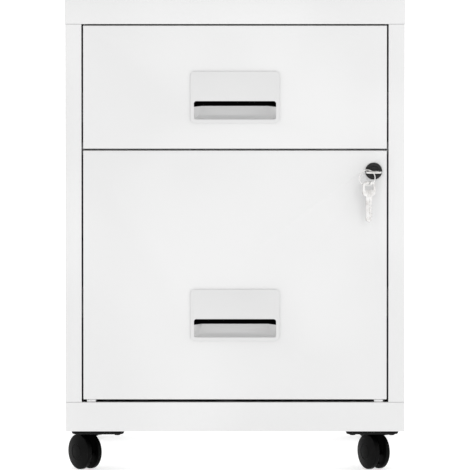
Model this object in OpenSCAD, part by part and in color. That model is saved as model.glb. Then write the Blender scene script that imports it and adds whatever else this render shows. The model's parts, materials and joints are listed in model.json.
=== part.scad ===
// Two-drawer mobile filing cabinet: a folded steel carcass, a shallow upper drawer, a deep lower
// drawer for hanging files, a lock with two keys on a ring, and four twin-wheel swivel casters.
// Millimetres, +Z up. The front faces -Y, +X is on the right of a person who stands before it,
// and the origin is on the floor, under the middle of the cabinet with its key in the lock.

/* [Carcass] */
// Width over the side panels
body_w = 400; // [350:5:500]
// Depth from the drawer fronts to the back panel
body_d = 400; // [340:5:600]
// Thickness of the folded steel sheet
sheet = 0.8; // [0.6:0.1:1.2]
// Thickness of the base panel, which carries the casters
base_t = 1.2; // [1:0.1:2]
// Width of each side panel's front and rear flange
flange_w = 19; // [17:0.5:26]
// Depth of the return leg behind each flange
leg_d = 34; // [30:0.5:36]
// Height of the top cover's front lip
lip_h = 28.5; // [20:0.5:40]
// Height of the top cover's side and rear skirts
skirt_h = 26.5; // [15:0.5:40]
// Height of the plinth
plinth_h = 34.5; // [20:0.5:60]
// Depth of the folds of the plinth, the cover lip and the back panel
fold_d = 14; // [8:0.5:15]
// Height of the rail between the drawers
rail_h = 15; // [10:0.5:16]
// Width of each upright that carries the slides
upright_w = 40; // [30:1:60]
// Width of the feet of the uprights
upright_foot = 10; // [6:0.5:16]
// Distance from the fronts to the first upright, and from the back to the second
upright_inset = 50; // [46:1:70]

/* [Drawers] */
// Height of the upper drawer front
upper_front_h = 145.5; // [130:0.5:200]
// Height of the lower drawer front
lower_front_h = 295; // [250:0.5:360]
// Depth of the folded drawer fronts, with the tray plate that closes them
front_depth = 16; // [15.5:0.5:17]
// Gap on each side of the drawer fronts
side_gap = 2; // [1:0.1:4]
// Gap above the upper drawer front
top_gap = 2; // [1:0.1:5]
// Gap between the drawer fronts
middle_gap = 2.5; // [1:0.1:5]
// Gap between the lower drawer front and the plinth
bottom_gap = 3.5; // [2:0.1:8]
// Height of the upper tray
upper_tray_h = 107; // [80:1:125]
// Height of a tray's floor above the bottom edge of its front: upper drawer
upper_tray_lift = 9; // [9:0.5:14]
// Height of a tray's floor above the bottom edge of its front: lower drawer
lower_tray_lift = 5.5; // [2:0.5:10]
// Space behind the trays
tray_rear_space = 30; // [20:1:60]
// Width of the hem along the top of the tray sides
hem_w = 6; // [3:0.5:10]
// Width of the fastening flanges on the sides of a drawer front
front_flange_w = 26; // [22:0.5:30]
// Height of the fastening flanges along its top and bottom
front_flange_h = 14; // [8:0.5:16]
// Height of the file rails above the tray sides
file_rail_h = 8; // [5:0.5:12]

/* [Slides] */
// Thickness of a telescopic slide, from the upright to the tray
slide_w = 12.7; // [12.7:0.1:15]
// Height of a slide
slide_h = 35; // [33:0.5:46]
// Thickness of the slide members
slide_t = 1.2; // [1:0.1:1.5]
// Diameter of the balls
ball_d = 2.4; // [2:0.1:3]
// Height of the upper slides above the floor of the upper tray
upper_slide_lift = 38; // [24:1:50]
// Height of the lower slides above the floor of the lower tray
lower_slide_lift = 108; // [30:1:150]
// Number of balls in each cage
ball_count = 6; // [3:1:10]
// Distance between balls
ball_pitch = 14; // [6:1:20]

/* [Handles] */
// Width of the handle plate
handle_w = 105; // [90:1:140]
// Height of the handle plate
handle_h = 61; // [56:0.5:75]
// Corner radius of the handle plate
handle_r = 5; // [2:0.5:10]
// How far the handle plate stands out of the drawer front
handle_t = 1.6; // [1:0.1:3]
// Height of the lip below the finger pocket
handle_lip = 4; // [3.5:0.5:8]
// Width of the finger pocket
pocket_w = 97; // [80:1:130]
// Height of the finger pocket
pocket_h = 22; // [19:0.5:26]
// Depth of the finger pocket behind the drawer front
pocket_d = 11; // [8:0.5:12]
// Corner radius of the finger pocket
pocket_r = 3; // [1:0.5:6]
// How much each side of the pocket narrows towards its bottom
pocket_draft = 9.5; // [4:0.5:14]
// Height of the slot through which the fingers reach behind the plate
slot_h = 7; // [6:0.5:8]
// How far the grip cup goes up behind the plate
grip_rise = 24; // [14:0.5:25]
// Wall of the pocket and the grip cup
handle_wall = 1.5; // [1:0.1:2]
// Height of the middle of the upper handle above the bottom edge of its front
upper_handle_z = 61; // [55:0.5:75]
// Height of the middle of the lower handle above the bottom edge of its front
lower_handle_z = 100; // [60:0.5:150]

/* [Lock and keys] */
// Distance from the lock to the right edge of the drawer front
lock_inset = 15.5; // [14.5:0.5:18]
// Distance from the lock to the top edge of the drawer front
lock_drop = 24; // [22:0.5:30]
// Diameter of the rim of the lock
lock_rim_d = 20; // [18:0.5:24]
// Diameter of the barrel of the lock
barrel_d = 16; // [14:0.5:17]
// Length of the barrel behind the face of the drawer front
barrel_l = 36; // [35:0.5:40]
// Diameter of the turning plug
plug_d = 11; // [10:0.5:12]
// Reach of the cam from the axis of the lock
cam_reach = 23; // [21:0.5:26]
// Width of the cam
cam_w = 12; // [9:0.5:14]
// Thickness of the cam
cam_t = 2; // [1.5:0.1:2.5]
// Width of the bow of a key
bow_w = 18.5; // [16:0.5:24]
// Length of the bow of a key
bow_l = 17.5; // [15:0.5:22]
// Width of the metal around the hole in the bow, on its sides
bow_web = 3; // [2.5:0.1:4]
// Thickness of a key
key_t = 2; // [1.6:0.1:2.4]
// Width of the blade of a key
blade_w = 8.5; // [7:0.1:9]
// Length of the blade of a key
blade_l = 31; // [25:0.5:32]
// Radius of the key ring, to the middle of its wire
ring_r = 9.3; // [8.5:0.1:14]
// Diameter of the wire of the key ring
ring_wire = 1.4; // [1:0.1:2]
// Angle between the spare key and the drawer front
spare_turn = 35; // [20:1:40]
// Distance of the spare key sideways from the bottom of the ring
spare_slide = 2.5; // [0:0.5:2.5]

/* [Casters] */
// Diameter of a wheel
wheel_d = 42; // [38:1:60]
// Width of a wheel
wheel_w = 8.5; // [8:0.5:14]
// Distance between the two wheels of a caster
wheel_gap = 9.5; // [9.5:0.5:16]
// Distance from the king pin to the axle
trail = 12; // [12:0.5:19]
// Room between the wheels and the mounting plate
head_room = 3.2; // [3:0.1:9]
// Width of a mounting plate
plate_w = 62; // [56:1:80]
// Thickness of a mounting plate
plate_t = 4.8; // [2:0.1:5]
// Corner radius of a mounting plate
plate_r = 8; // [3:0.5:12]
// Distance from a mounting plate to the side panel
plate_inset = 7; // [4:0.5:20]
// Distance from the middle of a mounting plate outwards to its king pin
pin_shift = 8.5; // [0:0.5:9]
// Distance between the screws of a mounting plate
screw_span = 46; // [44:0.5:48]
// Diameter of a king pin
king_pin_d = 5; // [4.5:0.1:5.5]
// Diameter of an axle
axle_d = 5; // [4:0.5:6]
// Direction in which each caster trails: front left, front right, rear left, rear right
trail_turn = [126, 122, 124, 127];

/* [Hidden] */
$fn = 48;

white = [0.93, 0.93, 0.92];
handle_white = [0.87, 0.87, 0.87];
black = [0.09, 0.09, 0.1];
zinc = [0.72, 0.73, 0.75];
nickel = [0.8, 0.79, 0.76];
nylon = [0.85, 0.83, 0.76];

// Clearances: between fixed pieces, around screws, around turning pins, and beyond a cut
fit = 0.3;
screw_fit = 0.1;
pin_fit = 0.05;
past = 1;

// Heights
caster_h = wheel_d + head_room + plate_t;
base_z = caster_h;
base_top = base_z + base_t;
plinth_top = base_z + plinth_h;
lower_z = plinth_top + bottom_gap;
lower_top = lower_z + lower_front_h;
upper_z = lower_top + middle_gap;
upper_top = upper_z + upper_front_h;
lip_z = upper_top + top_gap;
top_z = lip_z + lip_h;
wall_top = top_z - sheet;

// Widths, from the middle of the cabinet outwards
half_w = body_w / 2;
skin_x = half_w - sheet;
leg_x = half_w - flange_w;
front_x = leg_x - side_gap;
tray_x = leg_x - slide_w;
plate_x = front_x - sheet - fit;

// Depths, from the drawer fronts backwards
pan_d = front_depth - sheet;
slide_y = front_depth + 2;
tray_end = body_d - tray_rear_space;
slide_l = tray_end - slide_y - 2;
rear_leg_y = body_d - leg_d;
upright_ys = [upright_inset, body_d - upright_inset - upright_w];

// Trays
upper_floor = upper_z + upper_tray_lift;
upper_rim = upper_floor + upper_tray_h;
lower_floor = lower_z + lower_tray_lift;
lock_z = lower_top - lock_drop;
lower_rim = lock_z - cam_reach - 2;
upper_slide_z = upper_floor + upper_slide_lift;
lower_slide_z = lower_floor + lower_slide_lift;

// Screws: head radius, head height and shank radius
head_r = 3.5;
head_h = 1.4;
shank_r = 2;
drive_r = 1.4;
front_screw_x = tray_x - 9;
front_screw_edge = 10;
slide_screw_ys = [for (y = upright_ys) y + upright_w / 2];

// Slide section, measured from the leg inwards and from the middle of the slide up and down
race = ball_d + 0.2;
middle_half = slide_h / 2 - slide_t - race;
inner_half = middle_half - slide_t - race;
middle_u = slide_t + head_h + 0.6;
outer_lip_u = slide_w - 3.1;
middle_lip_u = slide_w - 2.1;
inner_lip_u = middle_u + slide_t + 1.8;
cage_t = 0.8;
cage_w = 3.4;

// Handle, measured from the middle of its plate
pocket_z = handle_lip - handle_h / 2;
pocket_top = pocket_z + pocket_h;
slot_z = pocket_top - slot_h;
scoop_r = slot_z - pocket_z;
grip_top = pocket_top + grip_rise;
cup_x = pocket_w / 2 + 0.5;
cup_d = pocket_d + handle_wall;
cutout_x = cup_x + handle_wall + fit;

// Lock and keys, measured from the drawer fronts
lock_x = front_x - lock_inset;
rim_t = 1.5;
plug_proud = 0.2;
plug_face = -rim_t - plug_proud;
cam_y = barrel_l + 0.5;
bow_back = plug_face - 1.5;
bow_hole_w = bow_w - 2 * bow_web;
bow_hole_l = 6.5;
bow_end_web = 3.5;
bow_hole_y = bow_back - bow_l + bow_end_web + bow_hole_l / 2;
blade_end = bow_back + blade_l;
keyway_end = blade_end + 1;
key_reach = bow_l - bow_back;
web_x = (bow_w - bow_web) / 2;
ring_hook = sqrt(pow(bow_web / 2, 2) + pow(key_t / 2, 2)) + ring_wire / 2 + 0.2;
ring_x = lock_x - web_x;
ring_z = lock_z - ring_r + ring_hook;
// The spare key rests where its faces cross the curve of the ring
face_x = (key_t + ring_wire) / 2 / sin(spare_turn);
face_rise = ring_r - sqrt(pow(ring_r, 2) - pow(face_x, 2));
spare_z = ring_z - ring_r + face_rise + ring_wire / 2 + 0.25 - bow_hole_l / 2;

// Casters
plate_mid = half_w - plate_inset - plate_w / 2;
pin_x = plate_mid + pin_shift;
caster_y = plate_inset + plate_w / 2;
corners = [[-1, caster_y], [1, caster_y], [-1, body_d - caster_y], [1, body_d - caster_y]];
wheel_r = wheel_d / 2;
plate_z = base_z - plate_t;
cap_z = wheel_d + 0.7;
cap_top = plate_z - 0.7;
cap_r = 16;
fin_half = wheel_gap / 2 - fit;
rim_wall = 5;
dome_h = 3.5;
dome_r = (pow(wheel_r, 2) + pow(dome_h, 2)) / (2 * dome_h);
hub_r = axle_d / 2 + 3;
axle_half = wheel_gap / 2 + wheel_w - 3;
king_pin_l = plate_z - wheel_r - 4;

// Distance of the drawer fronts from the origin, so that the origin is under the overall middle
front_y = (key_reach - body_d - sheet) / 2;

module from_front() {
  translate([0, front_y, 0]) children();
}

module slab(x0, x1, y0, y1, z0, z1) {
  translate([x0, y0, z0]) cube([x1 - x0, y1 - y0, z1 - z0]);
}

// Builds its children on the right-hand side, or mirrored on the left-hand side
module on_side(side) {
  mirror([side == "left" ? 1 : 0, 0, 0]) children();
}

module on_both_sides() {
  children();
  mirror([1, 0, 0]) children();
}

// Flat rectangle with round corners, around the origin
module rounded(w, h, r) {
  square([w - 2 * r, h], center = true);
  square([w, h - 2 * r], center = true);
  for (x = [-1, 1], y = [-1, 1]) translate([x * (w / 2 - r), y * (h / 2 - r)]) circle(r);
}

// Pan-head screw with a hexagonal drive: the head points up from the origin
module screw(length) {
  difference() {
    union() {
      cylinder(r = head_r, h = head_h);
      translate([0, 0, -length]) cylinder(r = shank_r, h = length + head_h / 2);
    }
    translate([0, 0, head_h / 3]) cylinder(r = drive_r, h = head_h, $fn = 6);
  }
}

module screw_hole(length) {
  translate([0, 0, -length / 2]) cylinder(r = shank_r + screw_fit, h = length);
}

// ---- Carcass ----

module top_cover() {
  color(white) from_front() {
    slab(-half_w - sheet, half_w + sheet, 0, body_d + sheet, wall_top, top_z);
    slab(-half_w - sheet, half_w + sheet, 0, sheet, lip_z, wall_top);
    slab(-leg_x + fit, leg_x - fit, 0, fold_d, lip_z, lip_z + sheet);
    slab(-half_w - sheet, half_w + sheet, body_d, body_d + sheet, top_z - skirt_h, wall_top);
    on_both_sides() slab(half_w, half_w + sheet, 0, body_d + sheet, top_z - skirt_h, wall_top);
  }
}

// Outer skin, front flange below the cover lip, rear flange, and the return leg behind each
module side_panel(side) {
  color(white) from_front() on_side(side) {
    slab(skin_x, half_w, sheet, body_d, base_z, wall_top);
    slab(leg_x, half_w, 0, sheet, plinth_top + fit, lip_z - fit);
    slab(leg_x, half_w, body_d - sheet, body_d, base_z, wall_top);
    slab(leg_x, leg_x + sheet, sheet, leg_d, base_top, wall_top);
    slab(leg_x, leg_x + sheet, sheet / 2, leg_d, plinth_top + fit, lip_z - fit);
    slab(leg_x, leg_x + sheet, rear_leg_y, body_d, base_top, wall_top);
  }
}

module left_side_panel() side_panel("left");
module right_side_panel() side_panel("right");

module back_panel() {
  back_x = leg_x - fit;
  color(white) from_front() {
    slab(-back_x, back_x, body_d - sheet, body_d, base_z, wall_top);
    on_both_sides() slab(back_x - sheet, back_x, body_d - fold_d, body_d, base_top, wall_top);
  }
}

module base_panel() {
  color(white) from_front() difference() {
    slab(-skin_x, skin_x, sheet, body_d - sheet, base_z, base_top);
    at_caster_screws() screw_hole(4 * (plate_t + base_t));
  }
}

module front_plinth() {
  foot_d = caster_y - screw_span / 2 - shank_r - 1;
  color(white) from_front() {
    slab(-half_w, half_w, 0, sheet, base_z, plinth_top);
    slab(-leg_x + fit, leg_x - fit, 0, fold_d, plinth_top - sheet, plinth_top);
    slab(-leg_x + fit, leg_x - fit, 0, foot_d, base_top, base_top + sheet);
  }
}

// Channel that is open to the rear, behind the gap between the drawer fronts
module middle_rail() {
  rail_z = lower_top + middle_gap / 2 - rail_h / 2;
  color(white) from_front() difference() {
    slab(-leg_x, leg_x, slide_y, leg_d, rail_z, rail_z + rail_h);
    slab(-leg_x - past, leg_x + past, slide_y + sheet, leg_d + past, rail_z + sheet, rail_z + rail_h - sheet);
  }
}

// Hat sections that stand on the side skins and bring the slides out to the return legs
module slide_uprights() {
  color(white) from_front() on_both_sides() for (y = upright_ys) difference() {
    union() {
      slab(leg_x, leg_x + sheet, y, y + upright_w, base_top, lip_z);
      for (web = [y, y + upright_w - sheet]) slab(leg_x, skin_x, web, web + sheet, base_top, lip_z);
      slab(skin_x - sheet, skin_x, y - upright_foot, y + sheet, base_top, lip_z);
      slab(skin_x - sheet, skin_x, y + upright_w - sheet, y + upright_w + upright_foot, base_top, lip_z);
    }
    at_slide_screws() screw_hole(20);
  }
}

// Buffers under the lower drawer front
module bump_stops() {
  stop_w = 11;
  stop_d = 9;
  stop_x = front_x - 4;
  color(white) from_front() on_both_sides()
    slab(stop_x - stop_w, stop_x, sheet + 1, sheet + 1 + stop_d, plinth_top, lower_z - fit);
}

// ---- Slides ----

module at_slide_screws() {
  for (z = [upper_slide_z, lower_slide_z], y = slide_screw_ys)
    translate([leg_x - slide_t, y, z]) rotate([0, -90, 0]) children();
}

module slide_screws() {
  color(zinc) from_front() on_both_sides() at_slide_screws() screw(slide_t + 4);
}

// Channel along Y: its web is at u0, and its two lips reach from there to u1
module channel(half, u0, u1, web_u, length) {
  slab(leg_x - web_u - slide_t, leg_x - web_u, 0, length, -half, half);
  for (z = [-half, half - slide_t]) slab(leg_x - u1, leg_x - u0, 0, length, z, z + slide_t);
}

module slide_outer(side, z) {
  color(zinc) from_front() on_side(side) difference() {
    translate([0, slide_y, z]) channel(slide_h / 2, 0, outer_lip_u, 0, slide_l);
    at_slide_screws() screw_hole(4 * slide_t);
  }
}

module upper_left_slide_outer() slide_outer("left", upper_slide_z);
module upper_right_slide_outer() slide_outer("right", upper_slide_z);
module lower_left_slide_outer() slide_outer("left", lower_slide_z);
module lower_right_slide_outer() slide_outer("right", lower_slide_z);

module slide_middles(z) {
  color(zinc) from_front() on_both_sides()
    translate([0, slide_y, z]) channel(middle_half, middle_u, middle_lip_u, middle_u, slide_l);
}

module upper_slide_middles() slide_middles(upper_slide_z);
module lower_slide_middles() slide_middles(lower_slide_z);

// One strip with its balls, along Y from the origin
module ball_cage() {
  length = ball_count * ball_pitch;
  slab(-cage_w / 2, cage_w / 2, 0, length, -cage_t / 2, cage_t / 2);
  for (i = [0 : ball_count - 1]) translate([0, (i + 0.5) * ball_pitch, 0]) sphere(d = ball_d, $fn = 24);
}

module ball_cages(z) {
  outer_race = middle_half + race / 2;
  inner_race = inner_half + race / 2;
  cage_y = slide_y + 8;
  color(nylon) from_front() on_both_sides() translate([leg_x, cage_y, z]) for (way = [-1, 1]) {
    translate([-(middle_u + outer_lip_u) / 2, 0, way * outer_race]) ball_cage();
    translate([-(inner_lip_u + middle_lip_u) / 2, 0, way * inner_race]) ball_cage();
  }
}

module upper_ball_cages() ball_cages(upper_slide_z);
module lower_ball_cages() ball_cages(lower_slide_z);

module slide_inner(side, z) {
  web_u = slide_w - slide_t;
  color(zinc) from_front() on_side(side) difference() {
    translate([0, slide_y, z]) channel(inner_half, inner_lip_u, slide_w, web_u, slide_l);
    at_tray_screws(z) screw_hole(4 * slide_t);
  }
}

module upper_left_slide_inner() slide_inner("left", upper_slide_z);
module upper_right_slide_inner() slide_inner("right", upper_slide_z);
module lower_left_slide_inner() slide_inner("left", lower_slide_z);
module lower_right_slide_inner() slide_inner("right", lower_slide_z);

// ---- Drawers ----

// Screws from the inside of a tray into the inner slide members
module at_tray_screws(z) {
  for (y = slide_screw_ys) translate([tray_x - sheet, y, z]) rotate([0, -90, 0]) children();
}

// Screws from the inside of a tray into the flanges of its drawer front
module at_front_screws(floor_z, rim_z) {
  for (z = [floor_z + front_screw_edge, rim_z - front_screw_edge])
    translate([front_screw_x, front_depth, z]) rotate([-90, 0, 0]) children();
}

module drawer_screws(floor_z, rim_z, slide_z) {
  color(zinc) from_front() on_both_sides() {
    at_front_screws(floor_z, rim_z) screw(2 * sheet + 3);
    at_tray_screws(slide_z) screw(sheet + slide_t + 1);
  }
}

module upper_drawer_screws() drawer_screws(upper_floor, upper_rim, upper_slide_z);
module lower_drawer_screws() drawer_screws(lower_floor, lower_rim, lower_slide_z);

// Open box with hemmed sides. Its front is a wider plate that closes the folded drawer front
module tray(front_z, floor_z, rim_z, slide_z) {
  color(white) from_front() difference() {
    union() {
      difference() {
        slab(-tray_x, tray_x, pan_d, tray_end, floor_z, rim_z);
        slab(-tray_x + sheet, tray_x - sheet, front_depth, tray_end - sheet, floor_z + sheet, rim_z + past);
      }
      slab(-plate_x, plate_x, pan_d, front_depth, front_z + sheet + fit, rim_z);
      on_both_sides() slab(tray_x - hem_w, tray_x, pan_d, tray_end, rim_z - sheet, rim_z);
    }
    on_both_sides() {
      at_front_screws(floor_z, rim_z) screw_hole(6);
      at_tray_screws(slide_z) screw_hole(6);
    }
  }
}

module upper_drawer_tray() tray(upper_z, upper_floor, upper_rim, upper_slide_z);
module lower_drawer_tray() tray(lower_z, lower_floor, lower_rim, lower_slide_z);

// Folded front: a face with four sides, and flanges at the rear that the tray is screwed to
module drawer_front(front_z, front_h, floor_z, rim_z, handle_z) {
  back = pan_d - sheet;
  difference() {
    slab(-front_x, front_x, 0, pan_d, front_z, front_z + front_h);
    slab(-front_x + sheet, front_x - sheet, sheet, back, front_z + sheet, front_z + front_h - sheet);
    slab(-front_x + front_flange_w, front_x - front_flange_w, back - past, pan_d + past,
         front_z + front_flange_h, front_z + front_h - front_flange_h);
    slab(-front_x + sheet, front_x - sheet, back - past, pan_d + past,
         rim_z, front_z + front_h - front_flange_h);
    slab(-cutout_x, cutout_x, -past, sheet + past,
         front_z + handle_z + pocket_z - handle_wall - fit,
         front_z + handle_z + grip_top + handle_wall + fit);
    on_both_sides() at_front_screws(floor_z, rim_z) screw_hole(6);
  }
}

module upper_drawer_front() {
  color(white) from_front()
    drawer_front(upper_z, upper_front_h, upper_floor, upper_rim, upper_handle_z);
}

module lower_drawer_front() {
  color(white) from_front() difference() {
    drawer_front(lower_z, lower_front_h, lower_floor, lower_rim, lower_handle_z);
    at_lock() translate([0, 0, -sheet - past]) cylinder(d = barrel_d + 2 * pin_fit, h = 2 * sheet + past);
  }
}

// Angles along the tray sides, on which hanging files slide
module file_rails() {
  rail_y = cam_y + cam_t + 6;
  rail_x = tray_x - sheet;
  color(zinc) from_front() on_both_sides() {
    slab(rail_x - hem_w + sheet, rail_x, rail_y, tray_end - sheet, lower_rim, lower_rim + sheet);
    slab(rail_x - hem_w + sheet, rail_x - hem_w + 2 * sheet, rail_y, tray_end - sheet,
         lower_rim, lower_rim + file_rail_h);
  }
}

// ---- Handles ----

// Section across the pocket: a round scoop below, and a straight slot above it
module pocket_section(grow) {
  intersection() {
    union() {
      translate([pocket_d - scoop_r, slot_z]) circle(scoop_r + grow, $fn = 96);
      translate([-scoop_r, slot_z]) square([scoop_r + pocket_d + grow, slot_h]);
    }
    translate([-scoop_r, slot_z - scoop_r - grow]) square([3 * scoop_r, scoop_r + slot_h + grow]);
  }
}

// The finger pocket, grown by a wall to give its outside
module pocket(grow) {
  wide = pocket_w / 2 + grow;
  deep = pocket_d + grow;
  narrow = wide - pocket_draft;
  intersection() {
    rotate([90, 0, 90]) linear_extrude(2 * wide, center = true) pocket_section(grow);
    translate([0, 0, slot_z - scoop_r - grow]) linear_extrude(scoop_r + slot_h + grow)
      polygon([[-wide, -handle_t - past], [wide, -handle_t - past], [wide, 0], [narrow, deep],
               [-narrow, deep], [-wide, 0]]);
    translate([0, deep, pocket_z + pocket_h / 2]) rotate([90, 0, 0]) linear_extrude(deep + handle_t + past)
      rounded(2 * wide, pocket_h + 2 * grow, pocket_r + grow);
  }
}

module handle(z) {
  color(handle_white) from_front() translate([0, 0, z]) difference() {
    union() {
      rotate([90, 0, 0]) linear_extrude(handle_t) rounded(handle_w, handle_h, handle_r);
      intersection() {
        pocket(handle_wall);
        slab(-handle_w, handle_w, -handle_t / 2, cup_d, -handle_h, slot_z);
      }
    }
    pocket(0);
  }
}

module upper_handle() handle(upper_z + upper_handle_z);
module lower_handle() handle(lower_z + lower_handle_z);

// Box behind the plate, open to the front and, over the scoop, to the pocket
module grip_cup(z) {
  color(black) from_front() translate([0, 0, z]) difference() {
    slab(-cup_x - handle_wall, cup_x + handle_wall, 0, cup_d, slot_z, grip_top + handle_wall);
    slab(-cup_x, cup_x, -past, pocket_d, slot_z + handle_wall, grip_top);
    pocket(0);
  }
}

module upper_grip_cup() grip_cup(upper_z + upper_handle_z);
module lower_grip_cup() grip_cup(lower_z + lower_handle_z);

// ---- Lock and keys ----

// Places its children on the axis of the lock: their +Z points out of the drawer front
module at_lock() {
  translate([lock_x, 0, lock_z]) rotate([90, 0, 0]) children();
}

module lock_housing() {
  color(black) from_front() at_lock() difference() {
    union() {
      cylinder(d = lock_rim_d, h = rim_t);
      translate([0, 0, -barrel_l]) cylinder(d = barrel_d, h = barrel_l);
    }
    translate([0, 0, -barrel_l - past]) cylinder(d = plug_d + 2 * pin_fit, h = barrel_l + rim_t + 2 * past);
  }
}

module lock_nut() {
  nut_t = 4;
  color(zinc) from_front() at_lock() translate([0, 0, -sheet - nut_t]) difference() {
    cylinder(r = barrel_d / 2 + 3.5, h = nut_t, $fn = 6);
    translate([0, 0, -past]) cylinder(d = barrel_d + 2 * pin_fit, h = nut_t + 2 * past);
  }
}

module lock_plug() {
  keyway_w = blade_w + 0.5;
  keyway_h = key_t + 0.3;
  color(black) from_front() at_lock() difference() {
    translate([0, 0, -cam_y]) cylinder(d = plug_d, h = cam_y - plug_face);
    translate([-keyway_w / 2, -keyway_h / 2, -keyway_end]) cube([keyway_w, keyway_h, keyway_end + rim_t + past]);
    translate([0, 0, -cam_y - past]) cylinder(r = shank_r + screw_fit, h = past + cam_y - keyway_end - 0.8);
  }
}

// Flat cam with a round end: it points down when the lock is open
module lock_cam() {
  color(zinc) from_front() at_lock() translate([0, 0, -cam_y - cam_t]) linear_extrude(cam_t) difference() {
    union() {
      circle(plug_d / 2 + 1);
      translate([-cam_w / 2, -cam_reach + cam_w / 2]) square([cam_w, cam_reach - cam_w / 2]);
      translate([0, -cam_reach + cam_w / 2]) circle(cam_w / 2);
    }
    circle(shank_r + screw_fit);
  }
}

module cam_screw() {
  color(zinc) from_front() at_lock() translate([0, 0, -cam_y - cam_t]) rotate([180, 0, 0])
    screw(cam_t + cam_y - keyway_end - 1.5);
}

// A key that lies flat, with the hole of its bow at the origin and its blade along +Y
module key_shape() {
  bow_y = bow_l / 2 - bow_end_web - bow_hole_l / 2;
  blade_y = bow_l - bow_end_web - bow_hole_l / 2;
  bites = 6;
  bite_pitch = 4;
  translate([0, 0, -key_t / 2]) linear_extrude(key_t) difference() {
    union() {
      translate([0, bow_y]) rounded(bow_w, bow_l, 5);
      polygon([[-blade_w / 2, blade_y - 1], [blade_w / 2, blade_y - 1],
               [blade_w / 2, blade_y + blade_l - 2.5], [0, blade_y + blade_l],
               [-blade_w / 2, blade_y + blade_l - 2.5]]);
    }
    rounded(bow_hole_w, bow_hole_l, 1.5);
    for (i = [0 : bites - 1]) {
      depth = 1 + (i * 3 % 4) * 0.4;
      translate([blade_w / 2, blade_y + 7 + i * bite_pitch])
        polygon([[past, -2], [0, -1.6], [-depth, -0.4], [-depth, 0.4], [0, 1.6], [past, 2]]);
    }
  }
}

module key() {
  color(nickel) from_front() translate([lock_x, bow_hole_y, lock_z]) key_shape();
}

module key_ring() {
  color(nickel) from_front() translate([ring_x, bow_hole_y, ring_z]) rotate([90, 0, 0])
    rotate_extrude($fn = 64) translate([ring_r, 0]) circle(d = ring_wire, $fn = 16);
}

module spare_key() {
  color(nickel) from_front() translate([ring_x, bow_hole_y, spare_z]) rotate([0, 0, spare_turn])
    translate([spare_slide, 0, 0]) rotate([-90, 0, 0]) key_shape();
}

// ---- Casters ----

module at_plates() {
  for (corner = corners) translate([corner[0] * plate_mid, corner[1], plate_z]) children();
}

module at_caster_screws() {
  at_plates() for (x = [-1, 1], y = [-1, 1])
    translate([x * screw_span / 2, y * screw_span / 2, 0]) rotate([180, 0, 0]) children();
}

module caster_plates() {
  color(black) from_front() difference() {
    at_plates() linear_extrude(plate_t) rounded(plate_w, plate_w, plate_r);
    at_caster_screws() screw_hole(4 * plate_t);
  }
}

module caster_screws() {
  color(black) from_front() at_caster_screws() screw(plate_t + base_t + 2);
}

module caster_king_pins() {
  color(zinc) from_front() for (corner = corners)
    translate([corner[0] * pin_x, corner[1], plate_z - king_pin_l]) cylinder(d = king_pin_d, h = king_pin_l);
}

// Places its children at a caster: their origin is on the floor below the king pin, +X trails
module at_caster(i) {
  translate([corners[i][0] * pin_x, corners[i][1], 0]) rotate([0, 0, trail_turn[i]]) children();
}

// Places its children on the axle: their +Z points along the axle, to the left of the trail
module on_axle(i) {
  from_front() at_caster(i) translate([trail, 0, wheel_r]) rotate([-90, 0, 0]) children();
}

// Round swivel cap above the wheels, and a fin between them that carries the pin and the axle
module hood(i) {
  boss_r = king_pin_d / 2 + 4;
  boss_z = plate_z - king_pin_l - 2;
  axle_boss = 8;
  color(black) difference() {
    from_front() at_caster(i) {
      translate([0, 0, cap_z]) cylinder(r = cap_r, h = cap_top - cap_z);
      translate([0, 0, boss_z]) intersection() {
        cylinder(r = boss_r, h = cap_z - boss_z + 1);
        translate([-boss_r, -fin_half, 0]) cube([2 * boss_r, 2 * fin_half, cap_z]);
      }
      rotate([90, 0, 0]) linear_extrude(2 * fin_half, center = true) {
        translate([trail, wheel_r]) circle(axle_boss);
        polygon([[0, boss_z], [trail, wheel_r - axle_boss], [trail + axle_boss, wheel_r],
                 [trail, cap_z - 4], [cap_r - 2, cap_z + 1], [0, cap_z + 1]]);
      }
    }
    from_front() at_caster(i) translate([0, 0, plate_z - king_pin_l - 1])
      cylinder(d = king_pin_d + 2 * pin_fit, h = king_pin_l + 2);
    on_axle(i) cylinder(d = axle_d + 2 * pin_fit, h = 4 * fin_half, center = true);
  }
}

module axle(i) {
  color(zinc) on_axle(i) cylinder(d = axle_d, h = 2 * axle_half, center = true);
}

// Hollow wheel with a domed outer face, a rim, and a hub with a blind bore
module wheel(i, way) {
  web_t = 1.5;
  color(black) on_axle(i) mirror([0, 0, way < 0 ? 1 : 0]) translate([0, 0, wheel_gap / 2])
    rotate_extrude($fn = 96) difference() {
      intersection() {
        square([wheel_r, wheel_w]);
        translate([0, wheel_w - dome_r]) circle(dome_r, $fn = 360);
      }
      translate([hub_r, -past]) square([wheel_r - rim_wall - hub_r, wheel_w - dome_h - web_t + past]);
      translate([0, -past]) square([axle_d / 2 + pin_fit, past + axle_half - wheel_gap / 2 + 0.5]);
    }
}

top_cover();
left_side_panel();
right_side_panel();
back_panel();
base_panel();
front_plinth();
middle_rail();
slide_uprights();
bump_stops();
slide_screws();
upper_left_slide_outer();
upper_right_slide_outer();
lower_left_slide_outer();
lower_right_slide_outer();
upper_slide_middles();
upper_ball_cages();
lower_slide_middles();
lower_ball_cages();
upper_drawer_front();
upper_drawer_tray();
upper_drawer_screws();
upper_handle();
upper_grip_cup();
upper_left_slide_inner();
upper_right_slide_inner();
lower_drawer_front();
lower_drawer_tray();
lower_drawer_screws();
lower_handle();
lower_grip_cup();
lower_left_slide_inner();
lower_right_slide_inner();
file_rails();
lock_housing();
lock_nut();
lock_plug();
lock_cam();
cam_screw();
key();
key_ring();
spare_key();
caster_plates();
caster_screws();
caster_king_pins();
hood(0);  // front_left_caster_hood
axle(0);  // front_left_caster_axle
wheel(0, 1);  // front_left_caster_left_wheel
wheel(0, -1);  // front_left_caster_right_wheel
hood(1);  // front_right_caster_hood
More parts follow.
